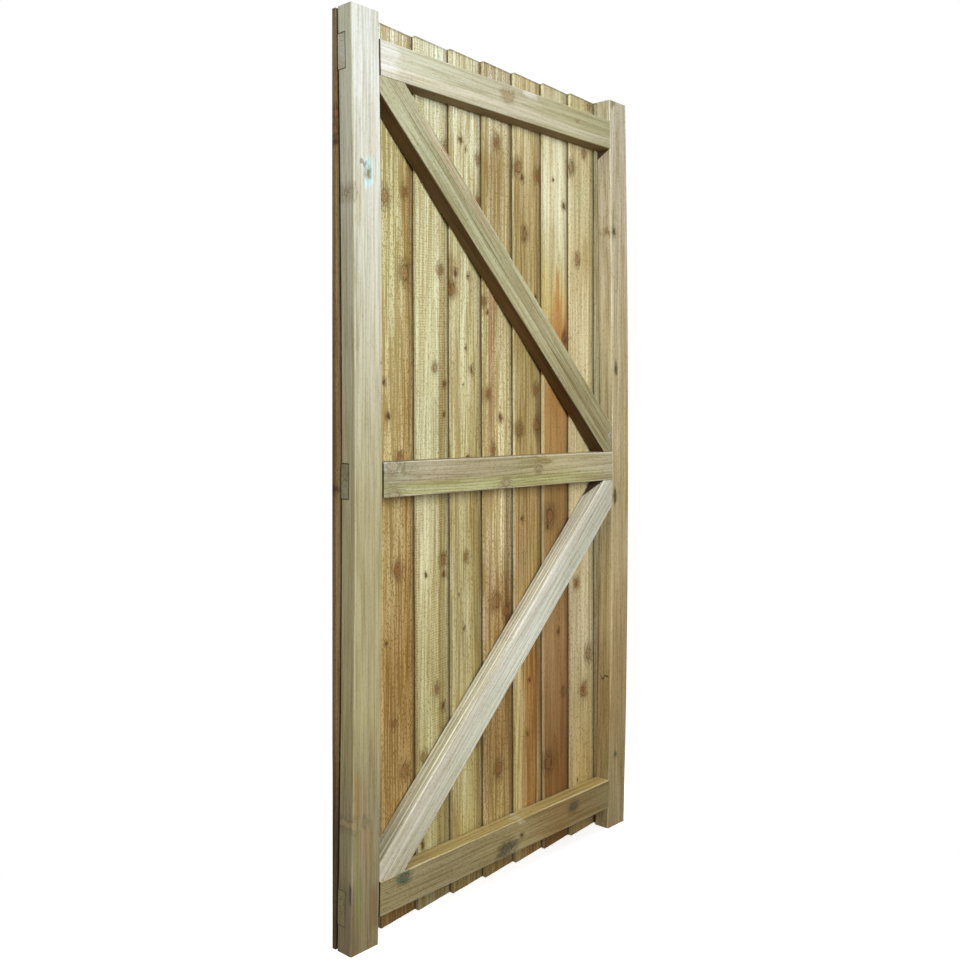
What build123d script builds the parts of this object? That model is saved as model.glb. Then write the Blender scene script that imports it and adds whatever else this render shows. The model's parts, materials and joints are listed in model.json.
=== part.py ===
"""A framed, ledged and braced garden gate with lapped featheredge boards, in millimetres.

X runs across the gate from the hinge stile to the latch stile, Y from the framed side to
the boarded side, Z up. The origin is at the foot of the hinge stile's outer edge, at the
middle of the frame's depth.
"""

from build123d import *
from math import asin, atan, atan2, ceil, cos, degrees, sin
import os

os.makedirs("parts", exist_ok=True)

# The whole gate
gate_height = 1800.0
gate_width = 900.0

# Planed frame timbers
stile_width = 70.0
rail_height = 70.0
frame_depth = 40.0
arris_radius = 3.0  # eased long edges of every frame timber

# Heights of the three rails
bottom_rail_rise = 50.0  # floor end of the stiles to the underside of the bottom rail
middle_rail_rise = 865.0  # the same to the underside of the middle rail
top_rail_drop = 50.0  # top end of the stiles to the top of the top rail

# Half-lap joints between rails and stiles
tongue_depth = 22.0  # part of the rail's depth that runs through the stile
joint_clearance = 0.3  # round each tongue
hinge_shoulder_gap = 2.5  # open shoulder beside the hinge stile
latch_shoulder_gap = 0.4  # tight shoulder beside the latch stile

# Diagonal braces
brace_width = 70.0
brace_offset = 12.0  # brace's middle line from the corner-to-corner line
brace_clearance = 0.3  # at the cut ends

# Featheredge boards
board_width = 125.0
thin_edge = 9.0
thick_edge = 16.0
least_lap = 20.0  # the boards are spread evenly with at least this much lap
latch_reveal = 5.0  # strip of the first board that shows beside the latch stile
hinge_board_rip = 7.0  # strip ripped off the last board's thin edge
board_seat = 0.3  # thin edge to the frame, and board to board
hinge_board_gap = 4.0  # the last board stands this far off the hinge stile

front_y = frame_depth / 2
rear_y = -frame_depth / 2

rail_rises = {
    "bottom_rail": bottom_rail_rise,
    "middle_rail": middle_rail_rise,
    "top_rail": gate_height - top_rail_drop - rail_height,
}
stile_lefts = {"hinge_stile": 0.0, "latch_stile": gate_width - stile_width}
opening_left = stile_width
opening_right = gate_width - stile_width


# Stiles: full-height bars, notched from the boarded side to take the rails' tongues
notch_depth = tongue_depth + joint_clearance
notch_height = rail_height + 2 * joint_clearance
for name, left in stile_lefts.items():
    centre_x = left + stile_width / 2
    with BuildPart() as stile:
        with BuildSketch(Plane.XY):
            with Locations((centre_x, 0)):
                Rectangle(stile_width, frame_depth)
        extrude(amount=gate_height)
        fillet(stile.edges().filter_by(Axis.Z), radius=arris_radius)
        for rise in rail_rises.values():
            with BuildSketch(Plane.XY.offset(rise - joint_clearance)):
                with Locations((centre_x, front_y - notch_depth / 2)):
                    Rectangle(stile_width, notch_depth)
            extrude(amount=notch_height, mode=Mode.SUBTRACT)
    stile.part.label = name
    export_step(stile.part, f"parts/{name}.step")


# Rails: full-width bars whose framed-side half stops at a shoulder beside each stile
cheek_depth = frame_depth - tongue_depth
cheek_y = rear_y + cheek_depth / 2
hinge_cheek = opening_left + hinge_shoulder_gap
latch_cheek = gate_width - opening_right + latch_shoulder_gap
for name, rise in rail_rises.items():
    with BuildPart() as rail:
        with BuildSketch(Plane.YZ):
            with Locations((0, rise + rail_height / 2)):
                Rectangle(frame_depth, rail_height)
        extrude(amount=gate_width)
        fillet(rail.edges().filter_by(Axis.X), radius=arris_radius)
        with BuildSketch(Plane.XY.offset(rise)):
            with Locations((hinge_cheek / 2, cheek_y)):
                Rectangle(hinge_cheek, cheek_depth)
            with Locations((gate_width - latch_cheek / 2, cheek_y)):
                Rectangle(latch_cheek, cheek_depth)
        extrude(amount=rail_height, mode=Mode.SUBTRACT)
    rail.part.label = name
    export_step(rail.part, f"parts/{name}.step")


# Braces: flush bars from the hinge side's outer corners to the middle rail at the latch
# side, each end cut to fit both the rail and the stile that it meets
opening_width = opening_right - opening_left
brace_spans = {
    "upper_brace": (middle_rail_rise + rail_height, rail_rises["top_rail"], -1),
    "lower_brace": (bottom_rail_rise + rail_height, middle_rail_rise, 1),
}
for name, (bay_bottom, bay_top, slope_sign) in brace_spans.items():
    bay_height = bay_top - bay_bottom
    slope = atan2(slope_sign * bay_height, opening_width)
    centre_x = (opening_left + opening_right) / 2 + brace_offset * sin(abs(slope))
    centre_z = (bay_bottom + bay_top) / 2 - slope_sign * brace_offset * cos(slope)
    with BuildPart() as brace:
        with BuildSketch(Plane.XZ.offset(-front_y)):
            with Locations((centre_x, centre_z)):
                Rectangle(opening_width + bay_height, brace_width, rotation=degrees(slope))
        extrude(amount=frame_depth)
        grain = Axis((0, 0, 0), (cos(slope), 0, sin(slope)))
        fillet(brace.edges().filter_by(grain), radius=arris_radius)
        with BuildSketch(Plane.XZ.offset(-front_y)):
            with Locations(((opening_left + opening_right) / 2, (bay_bottom + bay_top) / 2)):
                Rectangle(opening_width - 2 * brace_clearance, bay_height - 2 * brace_clearance)
        extrude(amount=frame_depth, mode=Mode.INTERSECT)
    brace.part.label = name
    export_step(brace.part, f"parts/{name}.step")


# Boards: laid from the latch side, each thick edge lapping the last board's thin edge, so
# that every board but the first leans on the one before it
first_board_left = opening_right - latch_reveal
board_run = first_board_left + hinge_board_rip
board_spaces = ceil(board_run / (board_width - least_lap))
board_pitch = board_run / board_spaces
taper = atan((thick_edge - thin_edge) / board_width)


def lap_tilt(rise, last_tilt):
    """Lean of a board whose thin edge starts `rise` above the last board's thin edge."""
    corner_x = board_pitch - thin_edge * sin(last_tilt)
    corner_y = thin_edge * cos(last_tilt) - rise
    over_corner = atan2(corner_y, corner_x)
    last_face = last_tilt + taper
    face_distance = corner_y * cos(last_face) - corner_x * sin(last_face)
    over_face = last_face + asin(face_distance / board_width)
    return max(over_corner, over_face) + board_seat / board_pitch


tilt = 0.0
for space in range(board_spaces + 1):
    stand_off = hinge_board_gap if space == board_spaces else board_seat
    if space > 0:
        tilt = lap_tilt(stand_off - board_seat, tilt)
    seat_corner = (first_board_left - space * board_pitch, front_y + stand_off, 0)
    with BuildPart() as board:
        with BuildSketch(Plane(seat_corner, x_dir=(cos(tilt), sin(tilt), 0), z_dir=(0, 0, 1))):
            with BuildLine():
                Polyline(
                    (0, 0), (board_width, 0), (board_width, thick_edge), (0, thin_edge), close=True
                )
            make_face()
        extrude(amount=gate_height)
        # Ripped flush with the outer edges of the stiles
        with BuildSketch(Plane.XY):
            with Locations((gate_width / 2, front_y + board_width / 2)):
                Rectangle(gate_width, board_width)
        extrude(amount=gate_height, mode=Mode.INTERSECT)
    board.part.label = f"board_{space + 1}"
    export_step(board.part, f"parts/board_{space + 1}.step")
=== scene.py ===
# A framed, ledged and braced garden gate in pressure-treated pine, seen from its framed side.
# Metres throughout: X from the hinge stile to the latch stile, Y from the frame to the
# boards, Z up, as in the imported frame.
import json
import math

import bmesh
import bpy
from mathutils import Matrix, Vector

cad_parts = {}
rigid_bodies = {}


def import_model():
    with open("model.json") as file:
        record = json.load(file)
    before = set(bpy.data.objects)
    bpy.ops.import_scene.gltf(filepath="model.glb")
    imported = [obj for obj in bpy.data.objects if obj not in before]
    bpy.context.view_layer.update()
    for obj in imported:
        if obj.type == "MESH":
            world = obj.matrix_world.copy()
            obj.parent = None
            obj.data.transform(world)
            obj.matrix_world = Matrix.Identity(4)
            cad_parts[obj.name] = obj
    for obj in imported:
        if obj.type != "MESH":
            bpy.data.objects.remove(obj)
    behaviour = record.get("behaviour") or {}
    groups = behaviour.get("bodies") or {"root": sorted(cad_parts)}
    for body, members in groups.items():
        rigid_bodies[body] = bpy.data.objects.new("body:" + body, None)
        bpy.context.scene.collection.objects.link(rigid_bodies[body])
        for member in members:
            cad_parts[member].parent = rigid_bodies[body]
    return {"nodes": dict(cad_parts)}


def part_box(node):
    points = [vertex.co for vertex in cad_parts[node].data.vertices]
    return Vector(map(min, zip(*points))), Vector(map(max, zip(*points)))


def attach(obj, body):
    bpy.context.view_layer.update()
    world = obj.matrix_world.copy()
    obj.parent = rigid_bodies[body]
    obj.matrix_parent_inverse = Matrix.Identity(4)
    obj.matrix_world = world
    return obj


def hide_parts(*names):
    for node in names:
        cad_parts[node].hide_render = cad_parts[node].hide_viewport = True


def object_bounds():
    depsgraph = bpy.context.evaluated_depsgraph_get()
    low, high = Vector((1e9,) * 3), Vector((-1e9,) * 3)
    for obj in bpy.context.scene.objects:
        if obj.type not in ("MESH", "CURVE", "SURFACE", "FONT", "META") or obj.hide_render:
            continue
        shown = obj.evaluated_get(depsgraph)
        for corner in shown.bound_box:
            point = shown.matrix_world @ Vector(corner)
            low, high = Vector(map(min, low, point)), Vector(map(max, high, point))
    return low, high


for leftover in list(bpy.data.objects):
    bpy.data.objects.remove(leftover)

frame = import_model()
cad_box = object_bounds()
gate_low, gate_high = Vector(cad_box[0]), Vector(cad_box[1])
gate_height = gate_high.z - gate_low.z
mm = 0.001


# Camera: it stands on the framed side, left of the hinge stile and about a metre up, and looks
# across the gate towards the latch stile.
camera_place = Vector((-1.2933, -1.5237, 1.0334))
camera_turn = math.radians(47.72)
camera_rise = math.radians(-0.74)
camera_roll = math.radians(0.11)


def new_object(name, data):
    """An object that shows this data, linked to the scene."""
    made = bpy.data.objects.new(name, data)
    bpy.context.scene.collection.objects.link(made)
    return made


camera_data = bpy.data.cameras.new("camera")
camera_data.sensor_width = 36.0
camera_data.lens = 39.3
camera_data.shift_y = -0.0571
camera = new_object("camera", camera_data)
camera.matrix_world = (
    Matrix.Translation(camera_place)
    @ Matrix.Rotation(-camera_turn, 4, "Z")
    @ Matrix.Rotation(math.pi / 2 + camera_rise, 4, "X")
    @ Matrix.Rotation(camera_roll, 4, "Z")
)
bpy.context.scene.camera = camera
bpy.context.scene.view_settings.view_transform = "Standard"


# Lamps: a tall softbox close in front of the hinge side at upper height, so that the shadows stay
# short and the light falls off towards the foot and the latch side, a steep one over the hinge
# side, and one for the street side.
def softbox(name, place, target, width, height, watts):
    """A rectangular area lamp that faces its target."""
    data = bpy.data.lights.new(name, "AREA")
    data.shape = "RECTANGLE"
    data.size = width
    data.size_y = height
    data.energy = watts
    lamp = new_object(name, data)
    lamp.location = place
    lamp.rotation_euler = (Vector(target) - Vector(place)).to_track_quat("-Z", "Y").to_euler()


softbox("key_softbox", (-0.7, -2.2, 1.6), (0.4, 0.0, 1.3), 1.2, 1.5, 80.0)
softbox("side_softbox", (-1.9, 0.0, 3.6), (0.1, 0.0, 1.2), 1.4, 1.4, 45.0)
softbox("street_softbox", (1.0, 3.0, 2.8), (0.45, 0.0, 0.9), 1.8, 1.8, 150.0)


# Surroundings: a plain white studio. What the camera and reflections see is white; what lights
# the gate from all round is a weak fill.
def linear(hex_colour):
    """An sRGB hex colour as linear red, green, blue and full alpha."""
    shares = [int(hex_colour[i:i + 2], 16) / 255 for i in (1, 3, 5)]
    return tuple(s / 12.92 if s <= 0.04045 else ((s + 0.055) / 1.055) ** 2.4 for s in shares) + (1.0,)


def add(tree, kind, inputs=(), operation=None, out=0, **settings):
    """Adds a node with its settings, its inputs as values or as links, and gives one output."""
    node = tree.nodes.new(kind)
    if operation:
        node.operation = operation
    for name, value in settings.items():
        setattr(node, name, value)
    for socket, value in inputs.items() if isinstance(inputs, dict) else enumerate(inputs):
        if isinstance(value, bpy.types.NodeSocket):
            tree.links.new(value, node.inputs[socket])
        else:
            node.inputs[socket].default_value = value
    return node.outputs[out] if node.outputs else node


def seen_ray(tree):
    """1 for rays from the camera, a reflection or clear material, and 0 for light that bounces."""
    rays = add(tree, "ShaderNodeLightPath").node.outputs
    seen = add(tree, "ShaderNodeMath", [rays["Is Camera Ray"], rays["Is Glossy Ray"]], "MAXIMUM")
    return add(tree, "ShaderNodeMath", [seen, rays["Is Transmission Ray"]], "MAXIMUM")


world = bpy.data.worlds.new("white_studio")
bpy.context.scene.world = world
world.use_nodes = True
studio = world.node_tree
studio.nodes.clear()
skyward = add(studio, "ShaderNodeTexCoord", out="Generated")
skyward = add(studio, "ShaderNodeSeparateXYZ", [skyward], out="Z")
overhead = add(studio, "ShaderNodeMapRange", {
    "Value": skyward, "From Min": -0.1, "From Max": 0.8, "To Min": 0.05, "To Max": 0.45,
})
fill = add(studio, "ShaderNodeBackground", {"Color": linear("#EEF0F2"), "Strength": overhead})
white = add(studio, "ShaderNodeBackground", {"Color": (1, 1, 1, 1), "Strength": 1.0})
surroundings = add(studio, "ShaderNodeMixShader", [seen_ray(studio), fill, white])
add(studio, "ShaderNodeOutputWorld", {"Surface": surroundings})


# Floor: plain and white. It keeps the gate's soft shadow near the feet and fades to the white of
# the surroundings further out, and what it throws back on the gate is a weak warm light.
floor_half = 6.0
shadow_reach = 1.1


def blank_material(name):
    """A new material with an empty node tree."""
    material = bpy.data.materials.new(name)
    material.use_nodes = True
    material.node_tree.nodes.clear()
    return material


floor_material = blank_material("white_floor")
ground = floor_material.node_tree
from_gate = add(ground, "ShaderNodeMapping", {
    "Vector": add(ground, "ShaderNodeTexCoord", out="Object"),
    "Location": (gate_high.x / 2, 0, 0),
}, vector_type="TEXTURE")
distance = add(ground, "ShaderNodeVectorMath", [from_gate], "LENGTH", out="Value")
fade = add(ground, "ShaderNodeMapRange", {
    "Value": distance, "From Min": 0.6 * shadow_reach, "From Max": shadow_reach,
}, interpolation_type="SMOOTHSTEP")
lit_floor = add(ground, "ShaderNodeBsdfDiffuse", {"Color": (0.9, 0.9, 0.9, 1)})
floor_glow = add(ground, "ShaderNodeEmission", {"Color": (1, 1, 1, 1), "Strength": 0.5})
near_floor = add(ground, "ShaderNodeAddShader", [lit_floor, floor_glow])
far_floor = add(ground, "ShaderNodeEmission", {"Color": (1, 1, 1, 1), "Strength": 1.0})
seen_floor = add(ground, "ShaderNodeMixShader", [fade, near_floor, far_floor])
bounce_floor = add(ground, "ShaderNodeBsdfDiffuse", {"Color": linear("#5E4C34")})
floor_shader = add(ground, "ShaderNodeMixShader", [seen_ray(ground), bounce_floor, seen_floor])
add(ground, "ShaderNodeOutputMaterial", {"Surface": floor_shader})

floor_mesh = bpy.data.meshes.new("floor")
floor_corners = [(x, y, -0.5 * mm) for x, y in ((-1, -1), (1, -1), (1, 1), (-1, 1))]
floor_mesh.from_pydata([(x * floor_half, y * floor_half, z) for x, y, z in floor_corners], [],
                       [(0, 1, 2, 3)])
floor_mesh.materials.append(floor_material)
floor = new_object("floor", floor_mesh)


# Pine figure: what shows on any cut face of the timber comes from growth rings round a pith,
# fibres along the length, and knots that the rings flow round. It is worked out in each
# timber's own directions: along it, through its depth, and across its face.
upright = math.radians(90)


def open_group(name, kind, inputs, outputs):
    """A node group with these sockets, each a number to start with or a kind, and what it is given."""
    group = bpy.data.node_groups.new(name, kind)
    for in_out, sockets in (("INPUT", inputs), ("OUTPUT", outputs)):
        for label, start in sockets.items():
            numeric = isinstance(start, float)
            socket_type = f"NodeSocket{'Float' if numeric else start}"
            socket = group.interface.new_socket(label, in_out=in_out, socket_type=socket_type)
            if numeric:
                socket.default_value = start
    return group, add(group, "NodeGroupInput").node.outputs


def faces_along(tree, direction, either_way=False):
    """How squarely a face looks along a direction: 1 when it looks straight along it."""
    outward = add(tree, "ShaderNodeNewGeometry", out="Normal")
    squarely = add(tree, "ShaderNodeVectorMath", [outward, direction], "DOT_PRODUCT", out="Value")
    if either_way:
        squarely = add(tree, "ShaderNodeMath", [squarely], "ABSOLUTE")
    return squarely


def painted(tree, tone, colour, *masks, blend="MIX"):
    """The tone with a colour over it where every mask is strong."""
    share = masks[0]
    for mask in masks[1:]:
        share = add(tree, "ShaderNodeMath", [share, mask], "MULTIPLY")
    return add(tree, "ShaderNodeMix", {0: share, 6: tone, 7: colour}, out=2, data_type="RGBA",
               blend_type=blend)


def make_knot_group():
    """A knot through the depth: it lifts the rings round it and has a core and a dark rim."""
    marks = {"Lift": 0.0, "Core": 0.0, "Rim": 0.0}
    group, given = open_group("knot", "ShaderNodeTree", {
        "Place": "Vector", "Centre": "Vector", "Size": 0.0, "Dark": 0.0, **marks,
    }, marks)
    offset = add(group, "ShaderNodeVectorMath", [given["Place"], given["Centre"]], "SUBTRACT")
    # A knot is drawn out along the grain
    oval = add(group, "ShaderNodeVectorMath", [offset, (0.78, 0, 1)], "MULTIPLY")
    reach = add(group, "ShaderNodeVectorMath", [oval], "LENGTH", out="Value")
    reach = add(group, "ShaderNodeMath", [reach, given["Size"]], "DIVIDE")
    fall = add(group, "ShaderNodeMath", [reach, reach], "MULTIPLY")
    fall = add(group, "ShaderNodeMath", [fall, -0.4], "MULTIPLY")
    hump = add(group, "ShaderNodeMath", [fall], "EXPONENT")
    hump = add(group, "ShaderNodeMath", [hump, given["Size"]], "MULTIPLY")
    lift = add(group, "ShaderNodeMath", [hump, given["Lift"]], "ADD")
    inner = add(group, "ShaderNodeMapRange", {"Value": reach, "From Min": 1.05, "From Max": 0.7},
                interpolation_type="SMOOTHSTEP")
    outer = add(group, "ShaderNodeMapRange", {"Value": reach, "From Min": 1.35, "From Max": 1.0},
                interpolation_type="SMOOTHSTEP")
    rim = add(group, "ShaderNodeMath", [outer, inner], "SUBTRACT")
    halo = add(group, "ShaderNodeMapRange", {
        "Value": reach, "From Min": 3.2, "From Max": 1.0, "To Max": 0.44,
    }, interpolation_type="SMOOTHSTEP")
    rim = add(group, "ShaderNodeMath", [rim, halo], "MAXIMUM")
    outside = add(group, "ShaderNodeMath", [1.0, inner], "SUBTRACT")
    rim = add(group, "ShaderNodeMath", [rim, outside], "MULTIPLY")
    # Rings of the branch itself
    branch = add(group, "ShaderNodeMath", [reach, 13.0], "MULTIPLY")
    branch = add(group, "ShaderNodeMath", [branch], "SINE")
    branch = add(group, "ShaderNodeMath", [branch, 0.65], "MULTIPLY")
    branch = add(group, "ShaderNodeMath", [branch, inner], "MULTIPLY")
    black = add(group, "ShaderNodeMath", [inner, given["Dark"]], "MULTIPLY")
    for mark in (branch, black, given["Rim"]):
        rim = add(group, "ShaderNodeMath", [rim, mark], "MAXIMUM")
    core = add(group, "ShaderNodeMath", [inner, given["Core"]], "MAXIMUM")
    add(group, "NodeGroupOutput", {"Lift": lift, "Core": core, "Rim": rim})
    return group


def make_stain_group():
    """A patch of another colour, drawn out along the grain, with soft uneven edges."""
    group, given = open_group("stain", "ShaderNodeTree", {
        "Place": "Vector", "Centre": "Vector", "Half Size": "Vector", "Strength": 0.0,
        "Stain": "Color", "Color": "Color",
    }, {"Color": "Color"})
    offset = add(group, "ShaderNodeVectorMath", [given["Place"], given["Centre"]], "SUBTRACT")
    share = add(group, "ShaderNodeVectorMath", [offset, given["Half Size"]], "DIVIDE")
    axes = add(group, "ShaderNodeSeparateXYZ", [share]).node.outputs
    masks = []
    for axis in axes:
        away = add(group, "ShaderNodeMath", [axis], "ABSOLUTE")
        masks.append(add(group, "ShaderNodeMapRange", {
            "Value": away, "From Min": 1.35, "From Max": 0.65,
        }, interpolation_type="SMOOTHSTEP"))
    stained = painted(group, given["Color"], given["Stain"], given["Strength"], *masks)
    add(group, "NodeGroupOutput", {"Color": stained})
    return group


knot_group = make_knot_group()
stain_group = make_stain_group()


def in_timber(x, z, centre, turn):
    """Where a spot of the gate's face, in mm, lies along and across a timber, in metres."""
    dx, dz = x * mm - centre.x, z * mm - centre.z
    return dx * math.cos(turn) + dz * math.sin(turn), dz * math.cos(turn) - dx * math.sin(turn)


def along_grain(tree, vector, along, across, detail, seed, out="Fac"):
    """Noise drawn out along the grain, with so many turns a metre along and across."""
    stretched = add(tree, "ShaderNodeVectorMath", [vector, (along, across, across)], "MULTIPLY")
    return add(tree, "ShaderNodeTexNoise", {
        "Vector": stretched, "W": seed, "Scale": 1.0, "Detail": detail, "Roughness": 0.6,
    }, out=out, noise_dimensions="4D")


def pine_figure(tree, centre, turn, pith, pith_lean, ring_gap, wander, knots, seed):
    """Rings, fibres, streaks and knots of one timber, as a dictionary of outputs."""
    place = add(tree, "ShaderNodeTexCoord", out="Object")
    local = add(tree, "ShaderNodeMapping", {
        "Vector": place, "Location": centre, "Rotation": (0, -turn, 0),
    }, vector_type="TEXTURE")
    drift = along_grain(tree, local, 1.6, 6.0, 1.0, seed, "Color")
    wandered = add(tree, "ShaderNodeVectorMath", [drift, (0, wander, wander), local], "MULTIPLY_ADD")
    from_pith = add(tree, "ShaderNodeMapping", {
        "Vector": wandered, "Location": (0, pith[0], pith[1]),
        "Rotation": (0, pith_lean[0], pith_lean[1]),
    }, vector_type="TEXTURE")
    across_pith = add(tree, "ShaderNodeVectorMath", [from_pith, (0, 1, 1)], "MULTIPLY")
    radius = add(tree, "ShaderNodeVectorMath", [across_pith], "LENGTH", out="Value")
    wobble = add(tree, "ShaderNodeTexNoise", {"Vector": local, "Scale": 110.0, "Detail": 3.0}, out="Color")
    uneven = add(tree, "ShaderNodeVectorMath", [wobble, (0.02, 0, 0.014), local], "MULTIPLY_ADD")
    marks = {"Lift": 0.0, "Core": 0.0, "Rim": 0.0}
    for x, z, size in knots:
        spot = in_timber(x, z, centre, turn)
        # The wobble's mean moves a point by half its reach
        knot = add(tree, "ShaderNodeGroup", {
            "Place": uneven, "Centre": (spot[0] + 0.01, 0, spot[1] + 0.007), "Size": size * mm,
            "Dark": 0.95 if size < 6 else 0.15, **marks,
        }, node_tree=knot_group).node
        marks = {name: knot.outputs[name] for name in marks}
    lifted = add(tree, "ShaderNodeMath", [radius, marks["Lift"]], "ADD")
    widths = add(tree, "ShaderNodeTexNoise", {"W": lifted, "Scale": 30.0, "Detail": 1.0},
                 noise_dimensions="1D")
    count = add(tree, "ShaderNodeMath", [lifted, 1 / (ring_gap * mm), widths], "MULTIPLY_ADD")
    count = add(tree, "ShaderNodeMath", [widths, 1.5, count], "MULTIPLY_ADD")
    year = add(tree, "ShaderNodeMath", [count], "FRACT")
    return {
        "in_gate": add(tree, "ShaderNodeSeparateXYZ", [place]).node.outputs,
        "in_timber": add(tree, "ShaderNodeSeparateXYZ", [local]).node.outputs,
        "local": local, "core": marks["Core"], "rim": marks["Rim"],
        "ring": add(tree, "ShaderNodeMath", [year, 2.2], "POWER"),
        "fibre": along_grain(tree, local, 6.0, 260.0, 2.0, seed + 1),
        "streak": along_grain(tree, wandered, 1.1, 60.0, 3.0, seed + 2),
        "cloud": along_grain(tree, wandered, 2.6, 12.0, 2.0, seed + 3),
        "speckle": along_grain(tree, local, 170.0, 330.0, 1.0, seed + 4),
        "edge": along_grain(tree, local, 3.0, 40.0, 2.0, seed + 5, "Color"),
    }


def timber_tone(tree, figure, centre, turn, tones, stains, face_light_tints, ragged):
    """Main colour along the timber, then painted light and shade by which way the face looks, then patches.
    """
    share = add(tree, "ShaderNodeMapRange", {
        "Value": figure["in_timber"]["X"], "From Min": -1.0, "From Max": 1.0,
    })
    ramp = add(tree, "ShaderNodeValToRGB", [share]).node
    stops = []
    for spot, colour in tones.items():
        # A height for an upright, otherwise a distance across the gate
        if turn == upright:
            along = spot * mm - centre.z
        else:
            along = (spot * mm - centre.x) / math.cos(turn)
        stops.append((0.5 + along / 2, linear(colour)))
    stops.sort()
    elements = ramp.color_ramp.elements
    elements[0].position, elements[0].color = stops[0]
    elements[1].position, elements[1].color = stops[-1]
    for position, colour in stops[1:-1]:
        elements.new(position).color = colour
    tone = ramp.outputs[0]
    # Painted light and shade: each face tint lightens or darkens the faces that look one way
    for direction, colour, strength, blend, *heights in face_light_tints:
        facing = add(tree, "ShaderNodeMapRange", {
            "Value": faces_along(tree, direction), "From Min": 0.3, "From Max": 0.66,
            "To Max": strength,
        }, interpolation_type="SMOOTHSTEP")
        # A tint covers the whole height unless it fades in between two heights
        low, high = heights or (-1000, -999)
        level = add(tree, "ShaderNodeMapRange", {
            "Value": figure["in_gate"]["Z"], "From Min": low * mm, "From Max": high * mm,
        })
        tone = painted(tree, tone, linear(colour), facing, level, blend=blend)
    blurred = add(tree, "ShaderNodeVectorMath",
                  [figure["edge"], (14 * ragged * mm, 0, ragged * mm), figure["local"]], "MULTIPLY_ADD")
    for x, z, half_along, half_across, colour, strength, *depth in stains:
        spot = in_timber(x, z, centre, turn)
        # A stain goes right through the timber unless a depth and half thickness are given
        y, half_deep = depth or (centre.y / mm, 1000)
        tone = add(tree, "ShaderNodeGroup", {
            "Place": blurred, "Color": tone, "Strength": strength, "Stain": linear(colour),
            "Centre": (spot[0] + 7 * ragged * mm, y * mm - centre.y, spot[1] + ragged / 2 * mm),
            "Half Size": (half_along * mm, half_deep * mm, half_across * mm),
        }, out="Color", node_tree=stain_group)
    return tone


def finish_pine(tree, figure, tone, turn, grain, knot_core, knot_rim, depths, lighter, roughness, bump):
    """Rings, fibres, streaks, speckle, knots and end grain over the tone, then gloss and relief."""
    near_knots = add(tree, "ShaderNodeMath", [figure["ring"], figure["rim"]], "MULTIPLY")
    shade = add(tree, "ShaderNodeMath", [near_knots, 1.2], "MULTIPLY")
    spreads = (("ring", 0.0, 1.0), ("fibre", 0.44, 0.6), ("streak", 0.38, 0.64),
               ("cloud", 0.38, 0.64), ("speckle", 0.52, 0.7))
    for (part, low, high), depth in zip(spreads, depths):
        strong = add(tree, "ShaderNodeMapRange", {
            "Value": figure[part], "From Min": low, "From Max": high, "To Max": depth,
        })
        shade = add(tree, "ShaderNodeMath", [shade, strong], "ADD")
    bleached = add(tree, "ShaderNodeVectorMath", [tone, lighter], "MULTIPLY")
    darker = painted(tree, bleached, linear(grain), 1.0, blend="MULTIPLY")
    tone = painted(tree, bleached, darker, shade)
    varied = add(tree, "ShaderNodeMapRange", {
        "Value": figure["cloud"], "From Min": 0.38, "From Max": 0.6, "To Min": 0.3, "To Max": 0.95,
    })
    tone = painted(tree, tone, linear(knot_core), figure["core"], varied)
    tone = painted(tree, tone, linear(knot_rim), figure["rim"], 0.88)
    # End grain drinks more of the treatment and is darker
    end = add(tree, "ShaderNodeMapRange", {
        "Value": faces_along(tree, (math.cos(turn), 0, math.sin(turn)), either_way=True),
        "From Min": 0.8, "From Max": 0.95, "To Max": 0.8,
    }, interpolation_type="SMOOTHSTEP")
    tone = painted(tree, tone, linear("#CACCC4"), end, blend="MULTIPLY")
    matt = add(tree, "ShaderNodeMapRange", {
        "Value": figure["fibre"], "From Min": 0.3, "From Max": 0.7,
        "To Min": roughness - 0.08, "To Max": roughness + 0.1,
    })
    relief = add(tree, "ShaderNodeMath", [figure["fibre"], figure["speckle"]], "ADD")
    normal = add(tree, "ShaderNodeBump", {"Height": relief, "Strength": 0.6, "Distance": bump * mm})
    surface = add(tree, "ShaderNodeBsdfPrincipled", {
        "Base Color": tone, "Roughness": matt, "Normal": normal, "Specular IOR Level": 0.25,
    })
    add(tree, "ShaderNodeOutputMaterial", {"Surface": surface})


# Frame timbers: planed pine, 70 by 40 mm with eased arrises, half-lapped together. The finish is
# smooth and matt: fine fibre lines, faint rings, and a tint that goes from pale grey at the head
# to tan at the foot, partly the treatment and the damp and partly painted shade where the light
# falls off towards the foot.
frame_bow = 10.5 * mm
latch_bow = 7 * mm
latch_kick = 7 * mm
cut_spacing = 50 * mm
clean_tongue = 32.6 * mm  # from the middle of a rail's tongue to the dirt at its end
clean_shoulder = 0.4 * mm  # from the middle of the frame's depth
arris_start = 17  # mm from the middle of a timber's depth to its eased arris


def bow_at(height, across):
    """How far the frame bows towards the latch side, which is more at that side and its foot."""
    share = (height - gate_height / 2) / (gate_height / 2)
    beyond = across / gate_high.x
    kick = latch_kick * beyond * max(0.0, 0.75 - height / gate_height)
    return (frame_bow + latch_bow * beyond) * (1 - share * share) + kick


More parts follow.
